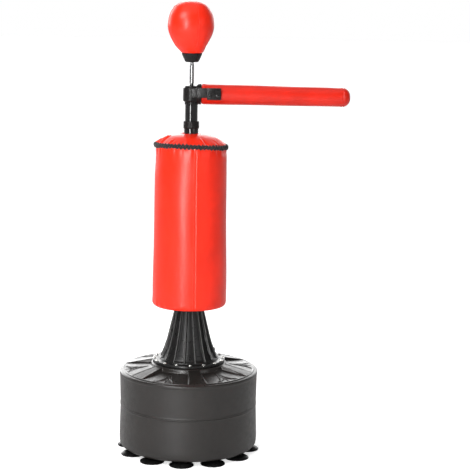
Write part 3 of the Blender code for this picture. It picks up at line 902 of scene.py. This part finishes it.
def make_mast(paint, black, grey, rubber):
    lower = tube_outline(LOWER_TUBE_R, LOWER_TUBE_R - 0.0025, 0.3315, LOWER_TUBE_TOP_Z, 0.0006)
    mesh = lathe("mast_lower_skin", finer(lower, 0.05, closed=True), 96)
    new_piece(mesh, paint, "base", ["mast_lower_tube"])
    inner = UPPER_TUBE_R - 0.0022
    upper = tube_outline(UPPER_TUBE_R, inner, UPPER_TUBE_LOW_Z, UPPER_TUBE_TOP_Z, 0.0006)
    mesh = lathe("mast_upper_skin", finer(upper, 0.05, closed=True), 96)
    new_piece(mesh, paint, "upper_mast", ["mast_upper_tube"])
    paint_node("upper_tube_guide", grey)
    paint_node("lock_sleeve", grey)
    paint_node("rebound_buffer", rubber)

    def grips(radius, height, bearing):
        ends = (NUT_LOW_Z + 0.0030, NUT_LOW_Z + 0.0050, NUT_TOP_Z - 0.0052, NUT_TOP_Z - 0.0032)
        flutes = crests(bearing, 20, 3) * between(height, *ends)
        return radius - 0.0004 * flutes * (radius > 0.0250), height

    shoulder = LOWER_TUBE_TOP_Z + 0.0065
    nut = [
        (0.0246, NUT_TOP_Z), (0.0266, NUT_TOP_Z - 0.0014), (0.0267, NUT_LOW_Z + 0.0014),
        (0.0256, NUT_LOW_Z), (LOWER_TUBE_R + 0.0003, NUT_LOW_Z), (LOWER_TUBE_R + 0.0003, shoulder),
        (UPPER_TUBE_R + 0.0004, shoulder), (UPPER_TUBE_R + 0.0004, NUT_TOP_Z),
    ]
    outline = finer(rounded(nut, 0.0008, closed=True), 0.0015, closed=True)
    mesh = lathe("lock_nut_skin", outline, 240, grips)
    new_piece(mesh, black, "height_lock", ["lock_nut"])

    ring = [(0.0228, RING_TOP_Z), (0.0235, RING_TOP_Z - 0.0008), (0.0235, RING_LOW_Z + 0.0008)]
    ring += [(0.0226, RING_LOW_Z), (UPPER_TUBE_R + 0.0003, RING_LOW_Z)]
    ring += [(UPPER_TUBE_R + 0.0003, RING_TOP_Z)]
    mesh = lathe("thrust_ring_skin", rounded(ring, 0.0006, closed=True), 96)
    new_piece(mesh, black, "upper_mast", ["thrust_ring"])

    seat = UPPER_TUBE_TOP_Z + 0.0003
    cap = [
        (0.0112, CAP_TOP_Z - 0.0006), (0.0120, CAP_TOP_Z), (0.0205, CAP_TOP_Z),
        (0.0225, CAP_TOP_Z - 0.0016), (0.0225, seat), (0.0187, seat), (0.0187, 1.2300),
        (0.0155, 1.2300), (0.0155, seat), (0.0112, seat),
    ]
    mesh = lathe("mast_cap_skin", rounded(cap, 0.0010, closed=True), 96, sharp_angle=50)
    new_piece(mesh, black, "upper_mast", ["mast_cap"])


# Bag


def hem_rise(bearing):
    """How far the lacing pulls the hem up: most in front, and less on the right."""
    return 0.0116 * crests(bearing, 1, 2) - 0.0041 - 0.0032 * np.sin(bearing)


def bag_side_warp(radius, height, bearing):
    """Slow dents, gathers under the lacing and at the foot, and the lapped long seam.

    The top is drawn in under the rope, higher up on the right than on the left.
    """
    slow = waves(SEED, 6, 2, 7)
    gathers = waves(SEED + 1, 10, 9, 34)
    foot = waves(SEED + 2, 8, 10, 30)
    outside = step_up(radius, 0.1210, 0.1218) * step_up(height, 0.5135, 0.5180)
    from_top = BAG_HEM_Z - height
    from_foot = height - BAG_LOW_Z
    move = 0.0005 * slow(bearing, height * 6.0)
    move += 0.0011 * gathers(bearing) * bump(from_top - 0.004, 0.022)
    move -= 0.0013 * crests(bearing, STITCH_COUNT, 2) * bump(from_top, 0.012)
    move += 0.0007 * foot(bearing) * bump(from_foot - 0.006, 0.016)
    across = turn_between(bearing, BAG_SEAM) * radius
    ease = 0.6 + 0.4 * np.cos(height * 2 * math.pi / 0.016)
    seam = sewn(across, 0.0014, 0.0012, 0.0007 * ease, 0.0042, 0.0022)
    lap = 0.0006 * between(across, 0.0, 0.0010, 0.006, 0.020)
    left = leftness(bearing)
    tuck = left * step_up(height, 0.9600, 1.0300) + (1.0 - left) * step_up(height, 1.0300, 1.0500)
    rise = hem_rise(bearing) * step_up(height, 0.9700, 1.0560)
    return radius + (move + seam + lap - 0.0024 * tuck) * outside, height + rise


def dome_warp(radius, height, bearing):
    """Gathers round the rope, long creases running in from it, and tucks at the mast."""
    gathers = waves(SEED + 3, 10, 12, 30)
    rng = np.random.default_rng(SEED + 4)
    top_face = step_up(height, 1.0622, 1.0640) * step_up(radius, 0.0, 0.0010)
    inward = np.clip((0.1222 - radius) / 0.0970, 0.0, 1.0)
    near_rope = bump(np.maximum(0.0, inward - 0.03), 0.12)
    pull = crests(bearing, STITCH_COUNT, 2)
    move = 0.0016 * gathers(bearing) * near_rope - 0.0014 * pull * bump(inward, 0.07)
    for centre in DOME_CREASES:
        width = math.radians(rng.uniform(1.6, 2.8))
        reach = rng.uniform(0.25, 0.55)
        lean = rng.uniform(-0.35, 0.35)
        size = rng.uniform(0.0011, 0.0021) * (2.3 if -95.0 < centre < -30.0 else 1.1)
        away = turn_between(bearing, centre) - lean * inward
        fold = bump(away, width) - 0.6 * bump(away - 1.9 * width, width * 1.2)
        move += size * fold * between(inward, 0.0, 0.05, reach * 0.5, reach)
    tuck = waves(SEED + 5, 5, 7, 15)
    move += 0.0008 * tuck(bearing) * bump(inward - 0.97, 0.07)
    slope = np.clip((height - 1.064) / 0.030, 0.0, 1.0)
    rise = hem_rise(bearing) * (1.0 - step_up(height, 1.0640, 1.0960))
    fuller = leftness(bearing) * bump(radius - 0.0850, 0.0260)
    rise += 0.0036 * fuller * step_up(height, 1.0700, 1.0850)
    along = move * top_face
    return radius + along * (1.0 - slope) * 0.9, height + along * (0.35 + 0.65 * slope) + rise


def make_bag(leather, black, cord, foam):
    side = [
        (0.1165, BAG_HEM_Z + 0.0012), (0.1192, BAG_HEM_Z + 0.0010), (0.1211, BAG_HEM_Z - 0.0012),
        (0.1216, BAG_HEM_Z - 0.0070), (0.1222, 0.9800), (0.1242, 0.7900), (0.1268, 0.6100),
        (0.1270, 0.5500), (0.1272, 0.5290), (0.1257, 0.5190), (0.1222, 0.5138),
        (0.1170, BAG_LOW_Z + 0.0004),
    ]
    outside = finer(curved(side, 6), 0.0040)
    inside = [(0.1150, BAG_LOW_Z + 0.0010), (0.1150, 0.5150), (0.1195, 0.5170), (0.1238, 0.5310)]
    inside += [(0.1250, 0.6100), (0.1220, 0.7900), (0.1202, 0.9800), (0.1165, 1.0400)]
    mesh = lathe("bag_side_skin", outside + inside, 420, bag_side_warp)
    skin = new_piece(mesh, leather, "base", ["bag_cover"])

    dome = [
        (0.0252, BAG_TOP_Z - 0.0022), (0.0258, BAG_TOP_Z + 0.0016), (0.0300, 1.1062),
        (0.0500, 1.1040), (0.0700, 1.0990), (0.0880, 1.0918), (0.1054, 1.0822), (0.1185, 1.0731),
        (0.1222, 1.0672), (0.1212, 1.0636), (0.1190, 1.0624),
    ]
    outside = finer(curved(dome, 8), 0.0022)
    inside = [(0.1170, 1.0630), (0.1160, 1.0690), (0.1020, 1.0780)]
    inside += [(0.0750, 1.0915), (0.0252, 1.0990)]
    mesh = lathe("bag_dome_skin", outside + inside, 420, dome_warp)
    top = new_piece(mesh, leather, "base", ["bag_top_cover"])

    bore = LOWER_TUBE_R + 0.0008
    under = [(0.1149, BAG_LOW_Z + 0.0028), (0.1149, BAG_LOW_Z + 0.0002)]
    under += [(0.1100, BAG_LOW_Z + 0.0001), (bore, BAG_LOW_Z + 0.0001), (bore, BAG_LOW_Z + 0.0028)]
    mesh = lathe("bag_bottom_skin", finer(under, 0.006, closed=True), 180)
    new_piece(mesh, black, "base", ["bag_bottom_cover"])

    core = [
        (bore, 1.0960), (0.0740, 1.0885), (0.1010, 1.0750), (0.1150, 1.0660), (0.1180, 1.0300),
        (0.1215, 0.7900), (0.1244, 0.6100), (0.1232, 0.5310), (0.1190, 0.5200), (bore, 0.5180),
    ]
    mesh = lathe("bag_foam_skin", finer(core, 0.012, closed=True), 120)
    core = new_piece(mesh, foam, "base", ["bag_foam_core"])
    make_lacing(cord)


def make_lacing(look):
    """Two cords twisted round each other along the hem, with a stitch over them at every hole."""
    count = STITCH_COUNT * 14
    angles = np.arange(count) * 2 * math.pi / count
    meshes = []
    for strand in (0.0, math.pi):
        twist = angles * ROPE_TURNS + strand
        radius = ROPE_R + 0.0006 + 0.0018 * np.cos(twist)
        height = ROPE_Z + 0.0036 * np.sin(twist) + hem_rise(angles)
        path = on_circle(radius, angles, height)
        meshes.append(tube_mesh(f"lacing_strand_{strand:.0f}", path, 0.0033, 8))
    sway = waves(SEED + 6, 6, 5, 21)
    phase = angles * STITCH_COUNT
    swing = np.sin(phase)
    reach = 0.0078 + 0.0009 * sway(angles)
    height = ROPE_Z + reach * swing + hem_rise(angles) + 0.0006 * sway(angles, 1.3)
    radius = ROPE_R + 0.0034 - 0.0036 * np.abs(swing) ** 3
    lean = angles + 0.5 / STITCH_COUNT * np.cos(phase)
    path = on_circle(radius, lean, height)
    meshes.append(tube_mesh("lacing_stitches", path, 0.0022, 8))
    mesh = joined("bag_lacing_skin", meshes)
    mesh.shade_smooth()
    new_piece(mesh, look, "base", ["bag_lacing_cord"])


# Reflex arm


def make_hub(look, grey):
    """Sleeve, flared socket for the padded tube, and a plate on each side of the pad."""
    bore = 0.0246
    sleeve = [
        (0.0278, HUB_TOP_Z), (HUB_R, HUB_TOP_Z - 0.0012), (HUB_R, HUB_LOW_Z + 0.0034),
        (HUB_R - 0.0018, HUB_LOW_Z), (0.0, HUB_LOW_Z),
    ]
    sleeve = [(0.0, HUB_TOP_Z)] + rounded(sleeve, 0.0008)
    base = lathe("hub_sleeve", sleeve, 96)
    socket = [
        (0.0, 0.0328), (0.0342, 0.0328), (0.0352, 0.0318), (0.0352, 0.0290), (0.0338, 0.0190),
        (0.0295, 0.0125), (0.0, 0.0120),
    ]
    unions = [lathe("hub_socket", rounded(socket, 0.0010), 96, place=pad_place())]
    for side, sign in (("front", -1.0), ("rear", 1.0)):
        low, high = sorted((sign * 0.0362, sign * 0.0412))
        outer_low, outer_high = sorted((sign * 0.0357, sign * 0.0415))
        root_low, root_high = sorted((sign * 0.0180, sign * 0.0411))
        for part, near, far, edge in (
            ("root", (0.0005, root_low, 1.2299), (0.0327, root_high, 1.2607), 0.0016),
            ("plate", (0.0200, low, 1.2295), (0.0995, high, 1.2625), 0.0009),
            ("outer", (0.0530, outer_low, 1.2228), (0.1000, outer_high, 1.2628), 0.0014),
        ):
            unions.append(rounded_box(f"hub_{part}_{side}", near, far, edge))
    cuts = [
        upright_cylinder("hub_bore", bore, HUB_LOW_Z - 0.02, HUB_TOP_Z + 0.02, Matrix(), 96),
        upright_cylinder("hub_tube_socket", 0.0163, 0.0200, 0.0400, arm_place(), 48),
    ]
    for i, place in enumerate(bolt_places()):
        cuts.append(upright_cylinder(f"hub_hole_{i}", 0.0033, -0.06, 0.06, place, 24))
    mesh = cut_and_joined("arm_hub_skin", base, unions, cuts)
    new_piece(mesh, look, "reflex_arm", ["arm_hub"])
    paint_node("hub_bush", grey)


def upright_cylinder(name, radius, low, top, place, sides):
    return lathe(name, [(0.0, top), (radius, top), (radius, low), (0.0, low)], sides, place=place)


def bolt_places():
    """Places on the arm whose local +Z points along -Y."""
    across = Matrix.Rotation(math.radians(90.0), 4, "X")
    return [
        Matrix.Translation(arm_place() @ Vector((0.0, 0.0, reach))) @ across
        for reach in BOLT_REACHES
    ]


def pad_warp(radius, height, bearing):
    """The sewn sleeve: its long seam underneath, the ring seam of its domed end, and slow dents."""
    slow = waves(SEED + 7, 5, 2, 6)
    puckers = waves(SEED + 8, 8, 8, 26)
    outside = step_up(radius, 0.0180, 0.0260)
    from_ring = height - PAD_RING_Z
    move = 0.0004 * slow(bearing, height * 9.0)
    move += sewn(from_ring, 0.0013, 0.0013, 0.0006, 0.0042, 0.0022)
    move += 0.0005 * puckers(bearing) * bump(from_ring, 0.009)
    move += 0.0007 * puckers(bearing, 2.0) * bump(height - 0.0400, 0.010)
    across = turn_between(bearing, 180.0) * radius
    seam = sewn(across, 0.0010, 0.0010, 0.0005, 0.0038, 0.0020)
    return radius + (move + seam * (from_ring < 0.0)) * outside, height


def make_pad(leather, thread, paint):
    cap = [(0.0, ARM_TIP), (0.0100, 0.5362), (0.0190, 0.5332), (0.0262, 0.5270)]
    cap += [(0.0302, 0.5200), (0.0318, PAD_RING_Z)]
    body = [(0.0318, PAD_RING_Z), (0.0330, 0.3000), (0.0341, 0.0700), (0.0342, 0.0400)]
    body += [(0.0328, 0.0350), (0.0295, 0.0334), (0.0168, 0.0334)]
    inside = [(0.0166, 0.0345), (0.0166, 0.4995), (0.0, 0.4995)]
    outline = finer(curved(cap, 5)[:-1] + rounded(body, 0.0020), 0.0035)
    outline = outline + finer(inside, 0.03)
    mesh = lathe("arm_pad_skin", outline, 200, pad_warp, place=pad_place())
    pad = new_piece(mesh, leather, "reflex_arm", ["arm_pad"])
    stitches = []
    pitch = 360.0 / PAD_STITCH_COUNT
    for row in (-0.0034, 0.0036):
        for i in range(PAD_STITCH_COUNT):
            name = f"stitch_{row}_{i}"
            stitches.append(ring_stitch(name, PAD_RING_Z + row, pitch * i, pitch))
    mesh = joined("arm_pad_stitching", stitches)
    mesh.shade_smooth()
    new_piece(mesh, thread, "reflex_arm")
    paint_node("arm_core_tube", paint)


def ring_stitch(name, height, bearing, pitch):
    """One thread stitch lying round the pad's end."""
    radius = 0.0321 if height < PAD_RING_Z else 0.0316
    path = []
    for t in np.linspace(-0.36, 0.36, 5):
        lift = 0.0004 * (1.0 - (t / 0.36) ** 2)
        point = bearing_point(radius + lift, bearing + t * pitch, height)
        path.append(tuple(pad_place() @ point))
    return tube_mesh(name, path, 0.00045, 6, closed=False)


def make_arm_bolts(look):
    """Button heads with a hexagon recess on the front plate, nuts on the rear one."""
    def recess(radius, height, bearing):
        hexagon = 0.0020 / np.cos(np.radians(from_nearest(bearing, 0.0, 60.0)))
        inside = 1.0 - step_up(radius, hexagon * 0.92, hexagon * 1.06)
        top = step_up(height, BOLT_FACE + 0.0012, BOLT_FACE + 0.0018)
        return radius, height - 0.0015 * inside * top

    bolt = [
        (0.0, BOLT_FACE + 0.0026), (0.0030, BOLT_FACE + 0.0025), (0.0048, BOLT_FACE + 0.0016),
        (0.0055, BOLT_FACE + 0.0006), (0.0055, BOLT_FACE), (0.0030, BOLT_FACE),
        (0.0030, -0.0475), (0.0, -0.0475),
    ]
    outline = rounded(bolt, 0.0006)
    head = [p for p in outline if p[1] > BOLT_FACE]
    shank = [p for p in outline if p[1] <= BOLT_FACE]
    outline = finer(head, 0.0003) + shank
    under, end = -BOLT_FACE - 0.0002, -BOLT_FACE - 0.0050
    nut = [(0.0055, under), (0.0055, end + 0.0004), (0.0048, end), (0.0032, end), (0.0032, under)]
    for i, place in enumerate(bolt_places()):
        name = f"arm_bolt_skin_{i + 1}"
        mesh = lathe(name, outline, 48, recess, place=place, sharp_angle=40)
        new_piece(mesh, look, "reflex_arm", [f"arm_bolt_{i + 1}"])
        name = f"arm_nut_skin_{i + 1}"
        mesh = lathe(name, rounded(nut, 0.0004, closed=True), 6, place=place, sharp_angle=30)
        new_piece(mesh, look, "reflex_arm", [f"arm_nut_{i + 1}"])


# Speed ball


def ball_warp(radius, height, bearing):
    """Four sewn panels that bulge a little between their seams."""
    turned = from_nearest(bearing, BALL_SEAM, 360.0 / BALL_PANELS)
    across = np.radians(turned) * radius
    outside = step_up(radius, 0.0, 0.0120) * step_up(height, 1.3700, 1.3820)
    inner = radius < np.interp(height, BALL_HEIGHTS, BALL_RADII) - 0.0020
    swell = -0.0006 * np.cos(np.radians(turned * BALL_PANELS))
    seam = sewn(across, 0.0011, 0.0010, 0.0007, 0.0034, 0.0018)
    slow = waves(SEED + 9, 4, 2, 5)
    move = (swell + seam + 0.0003 * slow(bearing, height * 14.0)) * outside
    lean = BALL_LEAN * step_up(height, 1.3800, 1.4040) * step_up(radius, 0.0, 0.0300)
    return np.where(inner, radius, radius + move) - lean * np.sin(bearing), height


BALL_OUTLINE = curved(
    [
        (0.0, BALL_TOP_Z), (0.0180, BALL_TOP_Z - 0.0014), (0.0360, BALL_TOP_Z - 0.0056),
        (0.0522, 1.5370), (0.0638, 1.5238), (0.0722, 1.5094), (0.0768, 1.4957), (0.0787, 1.4800),
        (0.0787, 1.4680), (0.0768, 1.4547), (0.0730, 1.4410), (0.0671, 1.4274), (0.0600, 1.4137),
        (0.0518, 1.4000), (0.0428, 1.3872), (0.0372, 1.3800),
    ],
    5,
)
BALL_HEIGHTS = [z for _, z in BALL_OUTLINE][::-1]
BALL_RADII = [r for r, _ in BALL_OUTLINE][::-1]


def make_ball(leather, black, chrome, zinc, grey):
    neck = [(0.0322, 1.3770), (0.0233, 1.3592), (0.0130, 1.3592)]
    neck += [(0.0130, 1.3622), (0.0205, 1.3622)]
    wall, squash = 0.0040, 0.945
    lining = [
        (r - wall, BALL_MIDDLE_Z + (z - BALL_MIDDLE_Z) * squash)
        for r, z in BALL_OUTLINE[::-4]
        if r > wall
    ]
    lining += [(0.0, BALL_TOP_Z - wall)]
    mesh = lathe("speed_ball_skin", BALL_OUTLINE + finer(neck, 0.004) + lining, 320, ball_warp)
    ball = new_piece(mesh, leather, "ball", ["speed_ball"])

    cup = [
        (0.0335, 1.3772), (0.0353, 1.3768), (0.0350, 1.3745), (0.0232, 1.3490), (0.0205, 1.3470),
        (0.0064, 1.3470), (0.0064, 1.3557), (0.0225, 1.3557), (0.0325, 1.3765),
    ]
    outline = finer(rounded(cup, 0.0010, closed=True), 0.004, closed=True)
    mesh = lathe("ball_cup_skin", outline, 96)
    new_piece(mesh, black, "ball", ["ball_cup"])

    rod = [
        (0.0, 1.3620), (0.0050, 1.3620), (0.0050, 1.3466), (0.0062, 1.3462), (0.0062, 1.3425),
        (0.0066, 1.3415), (0.0075, 1.3370), (0.0075, 1.2790), (0.0066, 1.2745), (0.0060, 1.2700),
        (0.0052, 1.2640), (0.0076, 1.2592), (0.0086, PIVOT_Z), (0.0076, 1.2528), (0.0050, 1.2498),
        (0.0036, 1.2460), (0.0036, 1.2340), (0.0, 1.2340),
    ]
    mesh = lathe("ball_rod_skin", rounded(rod, 0.0010), 64, sharp_angle=60)
    new_piece(mesh, chrome, "ball", ["ball_rod"])
    paint_node("rod_nut", zinc)
    paint_node("swivel_ring", grey)


# Stage


def make_camera():
    """A level-standing camera in front, a little to the right, that looks slightly down."""
    data = bpy.data.cameras.new("camera")
    data.sensor_width = SENSOR_WIDTH
    data.lens = LENS
    data.clip_end = 3.0 * FLOOR_R
    camera = placed("camera", data)
    camera.matrix_world = (
        Matrix.Translation(CAMERA_PLACE)
        @ Matrix.Rotation(math.radians(90.0 - CAMERA_DOWN), 4, "X")
        @ Matrix.Rotation(math.radians(CAMERA_ROLL), 4, "Z")
    )
    bpy.context.scene.camera = camera


def make_area_light(name, place, target, size, power):
    data = bpy.data.lights.new(name, "AREA")
    data.shape = "RECTANGLE"
    data.size, data.size_y = size
    data.energy = power
    light = placed(name, data)
    light.location = place
    light.rotation_mode = "QUATERNION"
    light.rotation_quaternion = (Vector(target) - Vector(place)).to_track_quat("-Z", "Y")


def make_lights():
    """A tall strip and a high softbox on the left, a weak fill on the right, a soft top light."""
    make_area_light("strip", (-1.70, -5.40, 1.45), STAGE_CENTRE, (0.55, 3.0), 205.0)
    make_area_light("key", (-2.4, -3.2, 4.2), STAGE_CENTRE, (2.4, 2.4), 190.0)
    make_area_light("fill", (3.0, -3.0, 2.0), STAGE_CENTRE, (2.0, 2.0), 20.0)
    make_area_light("top", (0.0, -0.4, 3.9), (0.0, 0.0, 0.0), (3.0, 3.0), 22.0)


def make_world():
    """White to the camera. As light it is bright behind the object, most on the left, else dim."""
    world = bpy.data.worlds.new("studio")
    bpy.context.scene.world = world
    nodes = Nodes(world)
    along_x, along_y, height = nodes.split(nodes.add("ShaderNodeTexCoord").outputs["Generated"])
    behind = nodes.ramp(along_y, 0.35, 0.85, 0.0, 3.7)
    low = nodes.ramp(height, 0.30, 0.55, 1.0, 0.16)
    leftward = nodes.ramp(along_x, -0.6, 0.8, 1.65, 0.35)
    backdrop = nodes.math("MULTIPLY", nodes.math("MULTIPLY", behind, low), leftward)
    light = nodes.math("ADD", backdrop, 0.14)
    rays = nodes.add("ShaderNodeLightPath")
    background = nodes.tree.nodes["Background"]
    background.inputs["Color"].default_value = WHITE
    strength = nodes.mix(rays.outputs["Is Camera Ray"], light, 1.0)
    nodes.link(strength, background.inputs["Strength"])


def make_floor(look):
    """A wide round floor, a hair below the cups' lips."""
    bm = bmesh.new()
    bmesh.ops.create_circle(bm, cap_ends=True, segments=128, radius=FLOOR_R)
    floor = placed("floor", mesh_from(bm, "floor"))
    floor.location.z = -FLOOR_GAP
    floor.data.materials.append(look)


def main():
    bpy.context.scene.view_settings.view_transform = "Standard"
    leather = leather_look()
    tank = tank_look()
    black = black_look()
    cone = pedestal_look()
    paint = paint_look()
    rubber = rubber_look()
    grey = grey_look()
    zinc = metal_look("zinc_steel_skin", (0.78, 0.77, 0.74), (0.22, 0.36), 600.0, 90.0)
    chrome = metal_look("chrome_skin", (0.33, 0.33, 0.335), (0.18, 0.27), 300.0, 40.0)
    make_camera()
    make_lights()
    make_world()
    make_floor(floor_look())
    make_tank(tank)
    make_suction_cups(rubber)
    make_filler(black, tank, rubber)
    make_pedestal(cone)
    make_flange_screws(zinc, rubber)
    make_mast(paint, black, grey, rubber)
    make_bag(leather, black, cord_look(), foam_look())
    make_hub(black, grey)
    # Painted shade: the arm pad gets the bag's red leather made darker, for the shade the pad is
    # seen in
    arm_red_painted_shade = (0.585, 0.0125, 0.0026)
    arm_leather = leather_look("arm_leatherette_painted_shade_skin", arm_red_painted_shade)
    make_pad(arm_leather, leather_look("red_thread", shade(arm_red_painted_shade, 0.8)), paint)
    make_arm_bolts(paint)
    make_ball(leather, black, chrome, zinc, grey)


main()
